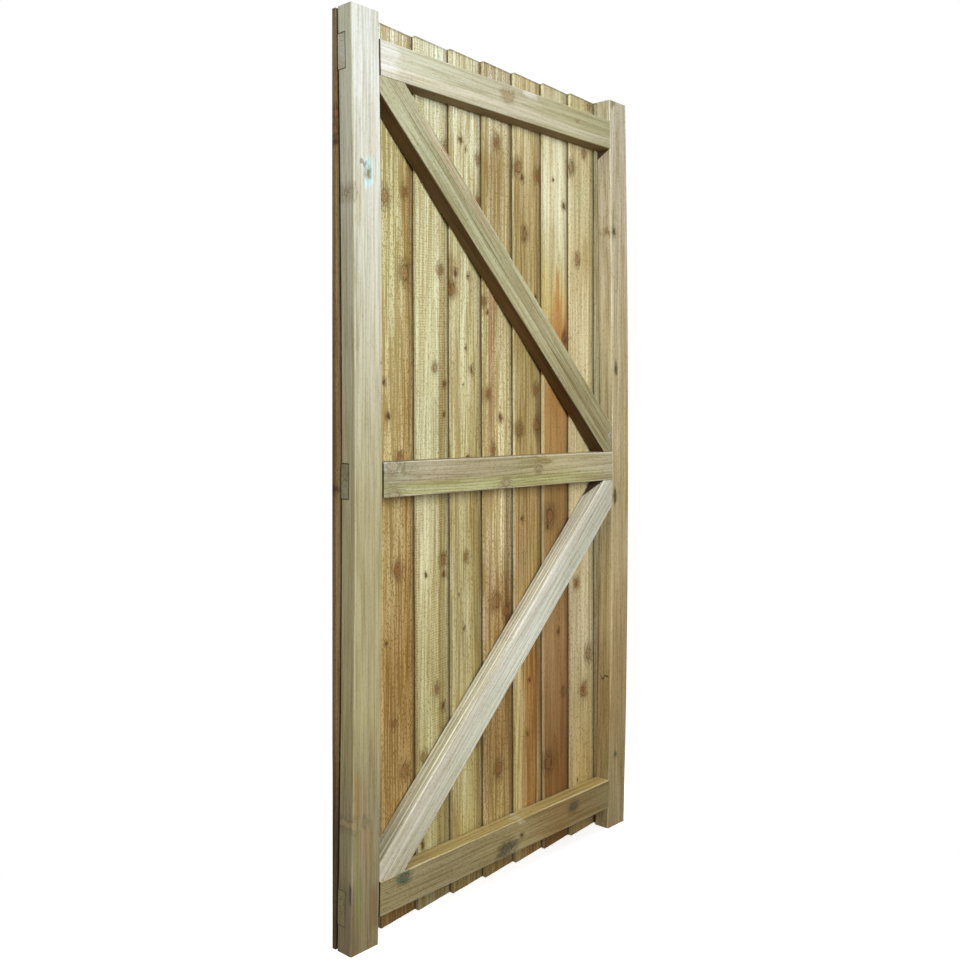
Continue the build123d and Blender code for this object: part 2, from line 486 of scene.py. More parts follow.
def planed_pine(name, centre, turn, pith, tones, knots=(), stains=(), face_light_tints=(), grain="#BBAF92",
                ring_gap=4.5, wander=0.02, seed=0.0, pith_lean=(0.0, 0.004), knot_core="#A5906A",
                knot_rim="#857550", ring=0.16, fibre=0.45, streak=0.34, cloud=0.2, speckle=0.4,
                lighter=(1.34, 1.46, 1.66), ragged=6.0, arris_highlight=0.16, rail_shadow=None):
    """Pressure-treated pine from the planer."""
    material = blank_material(f"planed_pine_{name}")
    tree = material.node_tree
    figure = pine_figure(tree, centre, turn, pith, pith_lean, ring_gap, wander, knots, seed)
    tone = timber_tone(tree, figure, centre, turn, tones, stains, face_light_tints, ragged)
    if rail_shadow:
        # Painted shadow of a rail on the face below it that looks towards the hinge side, a triangle
        # reaching further down towards the boards
        spot = figure["in_gate"]
        under, slope = rail_shadow
        reach = add(tree, "ShaderNodeMath", [spot["Y"], slope, (slope * arris_start - under) * mm],
                    "MULTIPLY_ADD")
        reach = add(tree, "ShaderNodeMath", [reach, spot["Z"]], "ADD")
        rail_shadow_share = add(tree, "ShaderNodeMapRange", {
            "Value": reach, "From Min": -1.0 * mm, "From Max": 1.0 * mm, "To Max": 0.97,
        })
        level = add(tree, "ShaderNodeMath", [spot["Z"], under * mm], "LESS_THAN")
        inward = faces_along(tree, (1, 0, 0))
        inward = add(tree, "ShaderNodeMath", [inward, -0.3], "LESS_THAN")
        tone = painted(tree, tone, linear("#3A2410"), rail_shadow_share, level, inward)
    # The eased arrises get a painted highlight, paler than the faces
    squareness = 0.0
    for axis in ((0, 1, 0), (math.cos(turn), 0, math.sin(turn)), (-math.sin(turn), 0, math.cos(turn))):
        along_axis = faces_along(tree, axis, either_way=True)
        squareness = add(tree, "ShaderNodeMath", [squareness, along_axis], "MAXIMUM")
    arris_highlight_share = add(tree, "ShaderNodeMapRange", {
        "Value": squareness, "From Min": 0.995, "From Max": 0.93, "To Max": arris_highlight,
    })
    tone = painted(tree, tone, linear("#EDE6D0"), arris_highlight_share)
    if turn == 0.0:
        # Dirt in the open joint round the ends of the rails' tongues
        spot = figure["in_timber"]
        joint = add(tree, "ShaderNodeMath", [spot["Z"]], "ABSOLUTE")
        joint = add(tree, "ShaderNodeMath", [joint, clean_tongue], "GREATER_THAN")
        shoulder = add(tree, "ShaderNodeMath", [spot["Y"], clean_shoulder], "LESS_THAN")
        joint = add(tree, "ShaderNodeMath", [joint, shoulder], "MAXIMUM")
        end_face = faces_along(tree, (1, 0, 0), either_way=True)
        end_face = add(tree, "ShaderNodeMath", [end_face, 0.95], "GREATER_THAN")
        tone = painted(tree, tone, linear("#332818"), joint, end_face, 0.78)
    depths = (ring, fibre, streak, cloud, speckle)
    finish_pine(tree, figure, tone, turn, grain, knot_core, knot_rim, depths, lighter, 0.62, 0.12)
    return material


def bent_copy(name):
    """A copy of the CAD timber, merged, cut across at even heights and bowed."""
    mesh = frame["nodes"][name].data.copy()
    shape = bmesh.new()
    shape.from_mesh(mesh)
    bmesh.ops.remove_doubles(shape, verts=shape.verts, dist=0.01 * mm)
    low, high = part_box(name)
    cut = math.ceil(low.z / cut_spacing) * cut_spacing
    while cut < high.z:
        bmesh.ops.bisect_plane(
            shape, geom=shape.verts[:] + shape.edges[:] + shape.faces[:],
            plane_co=(0, 0, cut), plane_no=(0, 0, 1),
        )
        cut += cut_spacing
    for point in shape.verts:
        point.co.x += bow_at(point.co.z, point.co.x)
    bmesh.ops.recalc_face_normals(shape, faces=shape.faces)
    shape.to_mesh(mesh)
    shape.free()
    mesh.shade_flat()
    return mesh


def put_for(node, mesh, material):
    """Puts a finished mesh in the place of a CAD node."""
    mesh.materials.clear()
    mesh.materials.append(material)
    piece = new_object(f"{node}_timber", mesh)
    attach(piece, "root")
    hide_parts(node)


def middle(name):
    """The middle of a CAD node's box."""
    low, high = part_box(name)
    return (low + high) / 2


brace_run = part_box("latch_stile")[0].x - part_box("hinge_stile")[1].x
brace_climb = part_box("top_rail")[0].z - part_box("middle_rail")[1].z
brace_turn = math.atan2(brace_climb, brace_run)
down, up, left_side = (0, 0, -1), (0, 0, 1), (-1, 0, 0)
# Painted shade: faces that look down are multiplied darker and browner
shaded_underside = (down, "#AE9574", 1.0, "MULTIPLY")

# Tones are colours by place, a height for an upright and a distance across the gate for the rest.
# Knots are x, z and half width, and stains x, z, half length, half width, colour and strength,
# with a depth and half thickness where they don't go through, all in gate mm. Face tints paint
# light and shade by the way a face looks: painted shade darkens undersides, painted light pales some faces.
frame_timbers = {
    "hinge_stile": dict(
        turn=upright, pith=(0.045, 0.03), seed=1.0, streak=0.24, fibre=0.4, speckle=0.2, arris_highlight=0.05,
        lighter=(1.27, 1.36, 1.54), knot_rim="#746C50",
        tones={1766: "#BDBCAF", 1560: "#BDBBAC", 1196: "#AAA58C", 816: "#9A906B", 437: "#9B9168",
               247: "#8A8163", 57: "#7E704D"},
        # Painted shade: its side face towards the hinge is darker from 900 mm up, fully above 1650 mm
        face_light_tints=((left_side, "#D9D8C6", 1.0, "MULTIPLY", 900, 1650),),
        knots=((43, 1487, 5), (36, 248, 5), (77, 1128, 2), (0, 1446, 7), (8, 247, 6), (80, 693, 2)),
        # The near-black spot at 0, 122 on the side face beside the arris is a painted shadow of a chip that
        # the mesh doesn't have
        stains=((45, 1484, 26, 11, "#B0CCCA", 0.8), (30, 1503, 4, 9, "#6F7468", 0.8),
                (20, 1440, 50, 12, "#A89F84", 0.5), (0, 122, 18, 4, "#0C0703", 1.0, -15.2, 3.2),
                (0, 60, 80, 20, "#5A4C34", 0.5), (36, 248, 8, 6, "#5F6A5E", 0.7),
                (30, 260, 80, 14, "#8E7046", 0.35), (15, 160, 110, 6, "#7C7440", 0.6),
                (48, 200, 50, 9, "#96703E", 0.25), (26, 90, 50, 5, "#6A7438", 0.3),
                (56, 70, 45, 10, "#6E5230", 0.5), (12, 300, 50, 5, "#A57F46", 0.5)),
    ),
    "latch_stile": dict(
        turn=upright, pith=(0.05, -0.02), seed=2.0, lighter=(1.4, 1.45, 1.6),
        tones={1733: "#B8B19B", 1360: "#B2A788", 1063: "#ADA27D", 665: "#AA9A72", 367: "#9E895E",
               70: "#8E805A"},
        knots=((852, 1479, 5), (862, 1137, 4), (860, 824, 5), (865, 178, 4)),
        stains=((850, 1500, 50, 5, "#8E946C", 0.5), (890, 900, 900, 8, "#8C7A55", 0.4),
                (846, 1793, 16, 9, "#6E6A56", 0.7), (828, 1760, 60, 5, "#8F8B62", 0.5),
                (843, 374, 2.5, 6, "#2C2A18", 0.8, -1, 12), (841, 1474, 9, 5, "#8A6C40", 0.6, -8, 9),
                (862, 1137, 16, 5, "#454E34", 0.8), (860, 826, 18, 5, "#3E4428", 0.8),
                (836, 826, 40, 3, "#5A5A38", 0.4)),
        # Painted shadow of the top rail on the inner side below it
        rail_shadow=(1680, 0.6), arris_highlight=0.1, knot_core="#66623F", knot_rim="#3E4028",
    ),
    "top_rail": dict(
        turn=0.0, pith=(0.06, 0.01), seed=3.0, fibre=0.34, streak=0.22, speckle=0.25,
        lighter=(1.28, 1.37, 1.54),
        tones={99: "#B8B3A1", 180: "#B2AF94", 456: "#AEA78B", 672: "#A9A27C", 791: "#A19B75"},
        face_light_tints=(shaded_underside,),
        knots=((449, 1724, 9), (700, 1722, 3)),
        stains=((450, 1697, 420, 9, "#C2B79F", 0.5), (532, 1744, 22, 9, "#D6D2C4", 0.6),
                (90, 1715, 30, 30, "#D2D0C6", 0.5)),
    ),
    "middle_rail": dict(
        turn=0.0, pith=(0.05, 0.03), seed=4.0, ring_gap=3.5, ring=0.55, knot_core="#A09A7E",
        knot_rim="#6A5C3C", lighter=(1.33, 1.43, 1.72), fibre=0.4, arris_highlight=0.4,
        tones={127: "#989375", 210: "#A2987A", 393: "#988C69", 493: "#948B62", 600: "#A19469",
               715: "#ACA077", 817: "#AAA17D"},
        face_light_tints=(shaded_underside,),
        knots=((108, 927, 10), (445, 877, 7), (560, 905, 6), (112, 868, 9)),
        stains=((430, 880, 330, 13, "#A3A468", 0.55), (108, 925, 22, 11, "#C0C2BC", 0.75),
                (445, 877, 18, 10, "#A89A7C", 0.6)),
    ),
    "bottom_rail": dict(
        turn=0.0, pith=(0.05, -0.03), seed=5.0, knot_core="#524A32", knot_rim="#2E281A",
        tones={128: "#8F815C", 241: "#877855", 496: "#948459", 642: "#83683C", 800: "#7A683F"},
        # Painted light: its top face is paler and yellower; painted shade on its underside
        face_light_tints=((up, "#B79F66", 0.9, "MIX"), shaded_underside),
        knots=((139, 107, 8), (452, 67, 11), (693, 95, 8), (503, 83, 3)),
        stains=((139, 107, 16, 11, "#5F7A60", 0.85), (452, 67, 34, 14, "#5E5136", 0.7),
                (470, 60, 12, 6, "#A89C74", 0.7), (693, 95, 14, 9, "#4A4C34", 0.7),
                (505, 118, 12, 10, "#C8BE9E", 0.5)),
    ),
    "upper_brace": dict(
        turn=-brace_turn, pith=(0.07, 0.03), seed=6.0, streak=0.5, wander=0.006, ragged=2.0,
        lighter=(1.42, 1.57, 1.83),
        tones={126: "#9D9879", 209: "#979373", 391: "#9A9673", 492: "#A19874", 714: "#8E845E"},
        # Painted shade: the side that looks down is multiplied dark brown
        face_light_tints=((down, "#8E6D4A", 1.0, "MULTIPLY"),),
        # The pale cream line at 395, 1262 along its length is a painted highlight on an arris
        stains=((395, 1262, 700, 5, "#C9BD8E", 0.8), (440, 1338, 700, 1.6, "#6E6445", 0.7),
                (446, 1348, 700, 1.4, "#7A6A52", 0.6), (300, 1510, 150, 8, "#B39E84", 0.5)),
    ),
    "lower_brace": dict(
        turn=brace_turn, pith=(0.09, 0.05), seed=7.0, knots=((459, 545, 7),), wander=0.004, ragged=2.0,
        tones={127: "#A89F86", 230: "#B5AE97", 330: "#BCB7A1", 450: "#C5C1AE", 716: "#BBB7A4",
               800: "#B5AE9A"},
        # Painted light: its upper-left side is paler; painted shade on its underside
        face_light_tints=(((-0.7, 0, 0.7), "#D9D2B2", 0.5, "MIX"), shaded_underside),
        stains=((452, 497, 600, 17, "#BFB5A2", 0.7), (436, 507, 600, 1.5, "#8E8468", 0.6),
                (436, 507, 600, 9, "#8C8060", 0.7, -12, 0.9), (436, 507, 600, 9, "#EDE6CC", 0.6, -8, 1.6),
                (436, 507, 600, 9, "#8C8060", 0.7, -4, 0.9), (436, 507, 600, 9, "#8C8060", 0.6, 2, 0.9),
                (436, 507, 600, 9, "#EFE8CE", 0.6, 6, 1.6), (436, 507, 600, 9, "#857852", 0.7, 11, 1.1)),
        ring_gap=8.0, ring=0.25, streak=0.25, cloud=0.1, grain="#B5AA8E", lighter=(1.4, 1.54, 1.75),
        # Painted shadow of the middle rail on its upward side below the rail
        fibre=0.4, speckle=0.3, rail_shadow=(865, 1.1),
    ),
}
for name, timber in frame_timbers.items():
    material = planed_pine(name, centre=middle(name), **timber)
    put_for(name, bent_copy(name), material)


# Featheredge boards: rough-sawn pine, 125 mm wide, 9 mm at the thin edge and 16 mm at the thick
# one, each lapped over the one before and nailed to the rails. All lean a little together, foot
# towards the latch side, and no edge is quite straight.
lap_shade_and_stain_start, cover = 68 * mm, 103.5 * mm  # from a board's thin edge to where the lap's painted shade and stain start, and to the lap
# Up to this height painted shade darkens the boards' foot near the floor
foot_shade_height = 80 * mm
tooth_gap = 5.5 * mm


def make_board_tree():
    """Geometry nodes that make one featheredge board, cut flush with the gate's sides."""
    tree, given = open_group("featheredge_board", "GeometryNodeTree", {
        "Left": 0.0, "Seat": 0.02, "Length": 1.8, "Width": 0.125, "Thin Edge": 0.009,
        "Thick Edge": 0.016, "Tilt": 0.09, "Lean": 0.018, "Wander": 0.001, "Seed": 0.0,
        "Leaf Left": 0.0, "Leaf Right": 0.9, "Finish": "Material",
    }, {"Board": "Geometry"})
    tree.is_modifier = True
    blank = add(tree, "GeometryNodeMeshCube", {
        "Size": (1, 1, 1), "Vertices X": 9, "Vertices Y": 2, "Vertices Z": 61,
    })
    corner = add(tree, "ShaderNodeVectorMath", [add(tree, "GeometryNodeInputPosition"), (0.5, 0.5, 0.5)],
                 "ADD")
    share = add(tree, "ShaderNodeSeparateXYZ", [corner]).node.outputs
    # Sideways shift: the lean, and a slow wander of the edges
    lean = add(tree, "ShaderNodeMath", [0.5, share["Z"]], "SUBTRACT")
    lean = add(tree, "ShaderNodeMath", [lean, given["Lean"]], "MULTIPLY")
    across = add(tree, "ShaderNodeMath", [given["Seed"], share["X"]], "ADD")
    drift_place = add(tree, "ShaderNodeCombineXYZ", {"X": across, "Z": share["Z"]})
    drift = add(tree, "ShaderNodeTexNoise", {"Vector": drift_place, "Scale": 3.0, "Detail": 3.0})
    drift = add(tree, "ShaderNodeMath", [drift, 0.5], "SUBTRACT")
    shift = add(tree, "ShaderNodeMath", [drift, given["Wander"], lean], "MULTIPLY_ADD")
    start = add(tree, "ShaderNodeMath", [given["Left"], shift], "ADD")
    flat = add(tree, "ShaderNodeMath", [given["Tilt"]], "COSINE")
    stop = add(tree, "ShaderNodeMath", [given["Width"], flat, start], "MULTIPLY_ADD")
    start_cut = add(tree, "ShaderNodeMath", [start, given["Leaf Left"]], "MAXIMUM")
    stop_cut = add(tree, "ShaderNodeMath", [stop, given["Leaf Right"]], "MINIMUM")
    x = add(tree, "ShaderNodeMapRange", {"Value": share["X"], "To Min": start_cut, "To Max": stop_cut})
    # Distance from the thin edge gives the lean of the face and the thickness
    out_from_edge = add(tree, "ShaderNodeMath", [x, start], "SUBTRACT")
    slope = add(tree, "ShaderNodeMath", [given["Tilt"]], "TANGENT")
    inner = add(tree, "ShaderNodeMath", [out_from_edge, slope, given["Seat"]], "MULTIPLY_ADD")
    thickness = add(tree, "ShaderNodeMapRange", {
        "Value": out_from_edge, "From Max": given["Width"],
        "To Min": given["Thin Edge"], "To Max": given["Thick Edge"],
    }, clamp=False)
    y = add(tree, "ShaderNodeMath", [share["Y"], thickness, inner], "MULTIPLY_ADD")
    z = add(tree, "ShaderNodeMath", [share["Z"], given["Length"]], "MULTIPLY")
    place = add(tree, "ShaderNodeCombineXYZ", {"X": x, "Y": y, "Z": z})
    board = add(tree, "GeometryNodeStoreNamedAttribute", {
        "Geometry": blank, "Name": "from_thin_edge", "Value": out_from_edge,
    }, data_type="FLOAT", domain="POINT")
    board = add(tree, "GeometryNodeSetPosition", {"Geometry": board, "Position": place})
    board = add(tree, "GeometryNodeRealizeInstances", [board])
    board = add(tree, "GeometryNodeSetMaterial", {"Geometry": board, "Material": given["Finish"]})
    add(tree, "NodeGroupOutput", {"Board": board})
    return tree


def grown(tree, values, start=None):
    """The mesh that a geometry node tree makes with these inputs, from a mesh to start with."""
    blank = start.copy() if start else bpy.data.meshes.new("blank")
    carrier = new_object("carrier", blank)
    modifier = carrier.modifiers.new("make", "NODES")
    modifier.node_group = tree
    sockets = {s.name: s.identifier for s in tree.interface.items_tree if s.in_out == "INPUT"}
    for name, value in values.items():
        modifier[sockets[name]] = value
    bpy.context.view_layer.update()
    ready = carrier.evaluated_get(bpy.context.evaluated_depsgraph_get())
    mesh = bpy.data.meshes.new_from_object(ready)
    carrier.modifiers.remove(modifier)
    bpy.data.objects.remove(carrier)
    bpy.data.meshes.remove(blank)
    return mesh


def sawn_pine(name, centre, tones, knots=(), stains=(), grain="#B4A27E", pith=(0.08, 0.02),
              ring_gap=6.0, wander=0.03, seed=0.0, pith_lean=(0.01, 0.01), knot_core="#8A5A30",
              knot_rim="#452C14", edge=(left_side, "#E4DAB4", 0.4, "MIX"), saw_marks=0.04, ring=0.2,
              fibre=0.45, streak=0.4, cloud=0.3, speckle=0.5, lighter=(1.56, 1.73, 2.08), ragged=9.0):
    """Pressure-treated pine straight from the saw."""
    material = blank_material(f"sawn_pine_{name}")
    tree = material.node_tree
    figure = pine_figure(tree, centre, upright, pith, pith_lean, ring_gap, wander, knots, seed)
    # The edge tint is painted light on faces that look towards the hinge side, paler on the thin edges
    tone = timber_tone(tree, figure, centre, upright, tones, stains, (edge,), ragged)
    # Painted shade and some stain darken the lap beside the next board, a painted shadow darkens the rear of
    # the thin edge in the gap, painted shade darkens the foot near the floor, and the sawn top ends have a
    # dark rim
    from_edge = add(tree, "ShaderNodeAttribute", out="Fac", attribute_name="from_thin_edge")
    lap_shade_and_stain = add(tree, "ShaderNodeMapRange", {"Value": from_edge, "From Min": lap_shade_and_stain_start, "From Max": cover})
    lap_shade_and_stain = add(tree, "ShaderNodeMath", [lap_shade_and_stain, 3.5], "POWER")
    lap_shade_and_stain = add(tree, "ShaderNodeMath", [lap_shade_and_stain, 0.85], "MULTIPLY")
    gap_shadow = add(tree, "ShaderNodeMapRange", {
        "Value": figure["in_gate"]["Y"], "To Max": 0.75,
        "From Min": gate_high.y - 23 * mm, "From Max": gate_high.y - 20.5 * mm,
    }, interpolation_type="SMOOTHERSTEP")
    beside = add(tree, "ShaderNodeMath", [from_edge, 1 * mm], "LESS_THAN")
    gap_shadow = add(tree, "ShaderNodeMath", [gap_shadow, beside], "MULTIPLY")
    top = add(tree, "ShaderNodeMapRange", {
        "Value": figure["in_gate"]["Z"], "To Max": 0.55,
        "From Min": gate_high.z - 6 * mm, "From Max": gate_high.z - 1 * mm,
    })
    foot_shade = add(tree, "ShaderNodeMapRange", {
        "Value": figure["in_gate"]["Z"], "To Max": 0.52,
        "From Min": foot_shade_height, "From Max": 2 * mm,
    })
    shade_and_stain = lap_shade_and_stain
    for mark in (gap_shadow, top, foot_shade):
        shade_and_stain = add(tree, "ShaderNodeMath", [shade_and_stain, mark], "MAXIMUM")
    tone = painted(tree, tone, linear("#4C3B1E"), shade_and_stain)
    # Teeth marks lie about 2 mm apart on the real boards and are drawn further apart to show
    turns = 2 * math.pi / tooth_gap
    stroke = add(tree, "ShaderNodeVectorMath", [figure["local"], (turns, 0, turns * 0.05)], "DOT_PRODUCT",
                 out="Value")
    stroke = add(tree, "ShaderNodeMath", [figure["cloud"], 9.0, stroke], "MULTIPLY_ADD")
    stroke = add(tree, "ShaderNodeMath", [stroke], "SINE")
    stroke = add(tree, "ShaderNodeMapRange", {"Value": stroke, "From Min": 0.2, "To Max": saw_marks})
    patchy = add(tree, "ShaderNodeMapRange", {"Value": figure["streak"], "From Min": 0.4, "From Max": 0.6})
    stroke = add(tree, "ShaderNodeMath", [stroke, patchy], "MULTIPLY")
    figure["fibre"] = add(tree, "ShaderNodeMath", [figure["fibre"], stroke], "ADD")
    depths = (ring, fibre, streak, cloud, speckle)
    finish_pine(tree, figure, tone, upright, grain, knot_core, knot_rim, depths, lighter, 0.82, 0.4)
    return material


board_tree = make_board_tree()
board_width, thin_edge, thick_edge = 125 * mm, 9 * mm, 16 * mm
board_lean = 13 * mm
last_lean = 0.6 * board_lean
board_shift = 12 * mm
board_wander = 1.2 * mm
board_pieces = {
    "board_1": dict(
        seed=11.0, tones={1700: "#A09A7A", 900: "#8E8A68", 100: "#7E7450"},
        # A duller painted light on its faces that look towards the hinge side
        edge=(left_side, "#A8A48A", 0.5, "MIX"),
    ),
    "board_2": dict(
        seed=12.0, speckle=0.6, cloud=0.2, streak=0.22, fibre=0.35, lighter=(1.42, 1.52, 1.7),
        tones={1775: "#B3A97D", 1700: "#C0B184", 1553: "#C1B88F", 1406: "#BCAC7E", 1284: "#C9BC93",
               900: "#C0B388", 470: "#C4B793", 321: "#B5A475", 172: "#B8A06B", 60: "#A68E58"},
        knots=((788, 1667, 6), (734, 1622, 8), (759, 1404, 8), (759, 615, 7), (815, 432, 10), (792, 346, 10),
               (767, 129, 3), (809, 1787, 6)),
        stains=((818, 900, 900, 6, "#97834C", 0.5),),
    ),
    "board_3": dict(
        seed=13.0, speckle=0.4, streak=0.25, fibre=0.28, lighter=(1.4, 1.5, 1.63),
        tones={1775: "#BEB797", 1690: "#D9D4B2", 1500: "#D6D1B0", 1395: "#C8C098", 1300: "#C4AE76",
               1200: "#A57C48", 966: "#9E7A48", 799: "#886B40", 487: "#97774C", 198: "#7F5B31",
               60: "#7A5428"},
        knots=((665, 1583, 3), (712, 1528, 5), (716, 1212, 6), (655, 787, 11), (645, 762, 5), (693, 506, 4),
               (716, 357, 6), (650, 201, 11)),
        stains=((633, 1240, 130, 12, "#CDBF86", 0.8), (623, 1000, 150, 7, "#DCCFA2", 0.8),
                (623, 420, 240, 6, "#DCCFA8", 0.85), (700, 1150, 110, 24, "#A86A34", 0.5),
                (686, 1335, 55, 7, "#B4824A", 0.85), (686, 1270, 50, 18, "#B07C42", 0.6),
                (716, 1190, 60, 6, "#5C3A1C", 0.6)),
    ),
    "board_4": dict(
        seed=14.0, speckle=0.45, fibre=0.55, lighter=(1.76, 2.12, 2.7),
        tones={1775: "#AA986F", 1690: "#B8A67A", 1545: "#9F885A", 1384: "#947D4E", 1107: "#9B8657",
               783: "#937748", 690: "#8D7345", 410: "#A17E4A", 200: "#A88A55", 60: "#9A7845"},
        knots=((533, 1590, 9), (550, 1568, 5), (612, 1586, 8), (561, 1441, 8), (608, 1086, 7),
               (606, 1302, 3), (612, 1002, 9), (541, 992, 9), (552, 787, 4), (582, 410, 3), (575, 285, 4)),
        stains=((532, 260, 270, 20, "#C0AE78", 0.6), (592, 260, 290, 20, "#8E5A28", 0.6),
                (612, 300, 300, 5, "#54361A", 0.6), (612, 1010, 60, 8, "#5A3E20", 0.5)),
    ),
    "board_5": dict(
        seed=15.0, speckle=1.0, fibre=0.65, lighter=(1.78, 1.97, 2.4),
        tones={1775: "#A79E81", 1690: "#BDB494", 1640: "#AFA480", 1572: "#9A8A62", 1439: "#9E9068",
               1149: "#ADA37B", 791: "#B4A57A", 634: "#937A50", 296: "#8E7447", 104: "#A08A58"},
        knots=((462, 1633, 9), (418, 1276, 6), (429, 1253, 3), (431, 1071, 7), (479, 1020, 5), (453, 948, 7),
               (465, 608, 10), (505, 581, 9), (475, 230, 10)),
        stains=((447, 1130, 260, 11, "#966848", 0.5), (496, 1300, 300, 15, "#BEB58C", 0.6),
                (506, 640, 230, 9, "#5A4020", 0.6), (482, 900, 200, 20, "#BFB284", 0.4)),
    ),
    "board_6": dict(
        seed=16.0, fibre=0.6, speckle=0.6,
        tones={1775: "#C3C0A1", 1700: "#CFCCAE", 1597: "#C1BC97", 1231: "#B2AA80", 1059: "#B9B086",
               799: "#B0A476", 539: "#ACA379", 234: "#B2A574", 60: "#A89860"},
        knots=((345, 1616, 5), (362, 1600, 3), (405, 1587, 6), (405, 1493, 7), (316, 1294, 8),
               (327, 1330, 5), (372, 1327, 4), (364, 1171, 3), (386, 1124, 5), (356, 1092, 2), (371, 937, 3),
               (367, 719, 6), (341, 641, 2), (360, 564, 3), (406, 311, 8)),
        stains=((393, 650, 650, 17, "#94824A", 0.6), (320, 1310, 45, 16, "#8A6A3A", 0.5)),
    ),
    "board_7": dict(
        seed=17.0, saw_marks=0.2, cloud=0.15, fibre=0.4,
        tones={1775: "#C5C5AB", 1600: "#BBB690", 1203: "#B4AD82", 974: "#B1AA83", 639: "#B5AB7D",
               387: "#ABA274", 100: "#A39868"},
        knots=((305, 1588, 9), (286, 1332, 7), (271, 1125, 6), (302, 1092, 4), (301, 1027, 3), (300, 719, 7),
               (302, 687, 4), (278, 448, 6), (300, 407, 5), (235, 313, 7), (231, 133, 4), (242, 694, 3)),
        stains=((294, 600, 700, 11, "#8A7642", 0.65),),
    ),
    "board_8": dict(
        seed=18.0, speckle=0.95, cloud=0.22, streak=0.3, fibre=0.8, lighter=(1.78, 2.05, 2.61),
        tones={1775: "#B5AF94", 1700: "#A8A078", 1459: "#A3996D", 1198: "#A69B70", 976: "#A49264",
               814: "#9C875A", 530: "#8D7040", 286: "#907545", 60: "#8A6C3C"},
        knots=((122, 1462, 10), (182, 1480, 6), (184, 1317, 11), (122, 1091, 4), (135, 1023, 5),
               (168, 939, 7), (163, 712, 9), (130, 567, 3), (153, 403, 6), (187, 296, 9)),
        stains=((190, 1000, 700, 14, "#86662F", 0.55), (112, 800, 500, 12, "#B48E52", 0.4)),
    ),
    "board_9": dict(
        # Painted shade: the face of its ripped edge is multiplied darker
        seed=19.0, edge=(left_side, "#7F7358", 1.0, "MULTIPLY"), knot_core="#7A4E30",
        knot_rim="#2C1C10", streak=0.1, lighter=(1.05, 1.15, 1.25),
        tones={1766: "#B7A887", 1576: "#9C7E52", 1386: "#BDA87B", 1196: "#B89D70", 816: "#D1B785",
               627: "#C0A070", 437: "#BA976A", 247: "#9E784C", 57: "#886E48"},
        knots=((2, 1603, 6), (2, 1569, 6), (2, 1548, 4), (1, 885, 4)),
        stains=((5, 1000, 1000, 10, "#735F3D", 0.97), (5, 60, 260, 10, "#3E2E18", 0.8)),
    ),
}
board_meshes = []
for name, board in board_pieces.items():
    low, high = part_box(name)
    # The boards' lean towards the frame, from the CAD board's own depth; the first lies flat
    tilt = math.asin(max(0.0, high.y - low.y - thick_edge) / board_width)
    if name == "board_1":
        tilt = 0.0
    left = low.x + board_shift
    lean = board_lean
    if name == "board_9":
        # This board's thin edge is ripped off with the gate's side
        left = high.x - board_width * math.cos(tilt)
        lean = last_lean
    material = sawn_pine(name, centre=middle(name), **board)
    mesh = grown(board_tree, {
        "Left": left, "Seat": low.y, "Length": high.z, "Width": board_width,
        "Thin Edge": thin_edge, "Thick Edge": thick_edge, "Tilt": tilt, "Lean": lean,
        "Wander": board_wander, "Seed": board["seed"], "Leaf Left": gate_low.x,
        "Leaf Right": gate_high.x, "Finish": material,
    })
    put_for(name, mesh, material)
    board_meshes.append((left, mesh))


